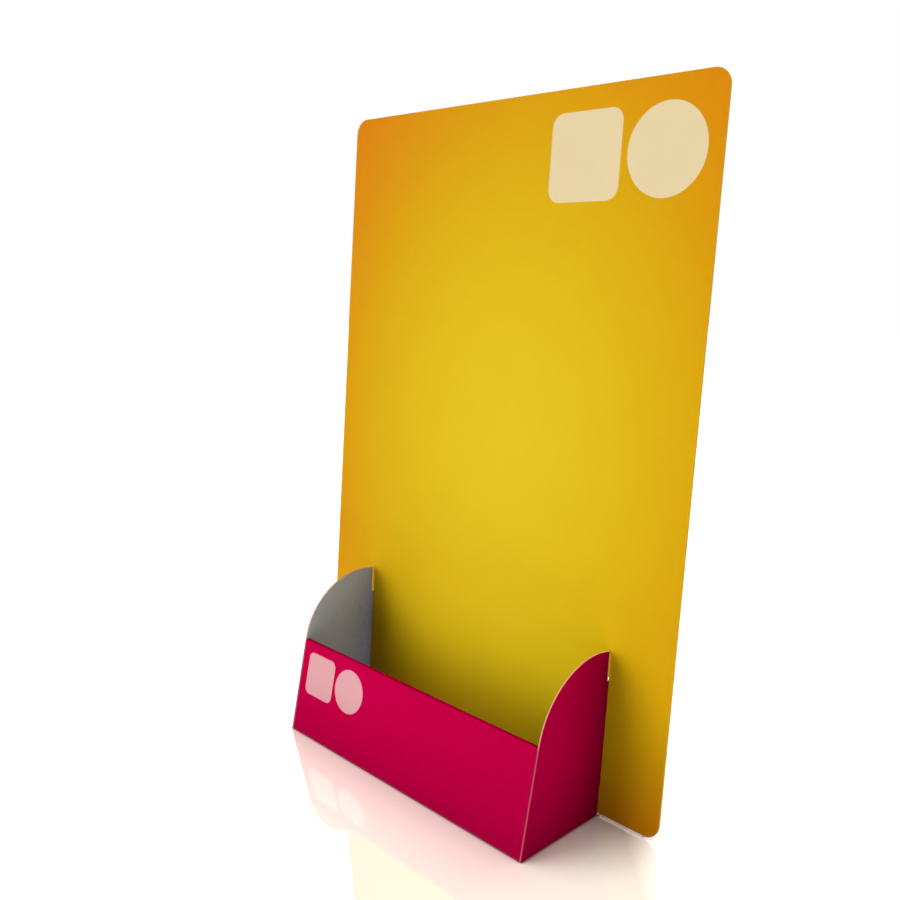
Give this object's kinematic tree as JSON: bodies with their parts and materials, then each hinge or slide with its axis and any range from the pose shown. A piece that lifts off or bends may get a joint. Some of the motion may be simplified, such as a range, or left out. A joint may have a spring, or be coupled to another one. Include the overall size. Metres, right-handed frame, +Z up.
{
  "type": "counter display stand with leaflet tray",
  "caption": "Folded card counter display: a tall board leaning back on a base flap, with an open leaflet tray in front whose side walls lock through slots in the board.",
  "frame": {"origin": "on the table, under the middle of the stand's bounding box", "axes": "+X across the front to the right as seen from in front, +Y from the tray to the rear, +Z up"},
  "size_m": [0.3, 0.1274, 0.4198],
  "materials": {
    "panel_card": "printed yellow to orange on the front, grey unprinted back, white cut edges",
    "tray_card": "printed crimson on the outside, grey unprinted inside, white cut edges"
  },
  "bodies": {
    "root": {"back_panel": "panel_card", "leaflet_tray": "tray_card"}
  },
  "joints": []
}
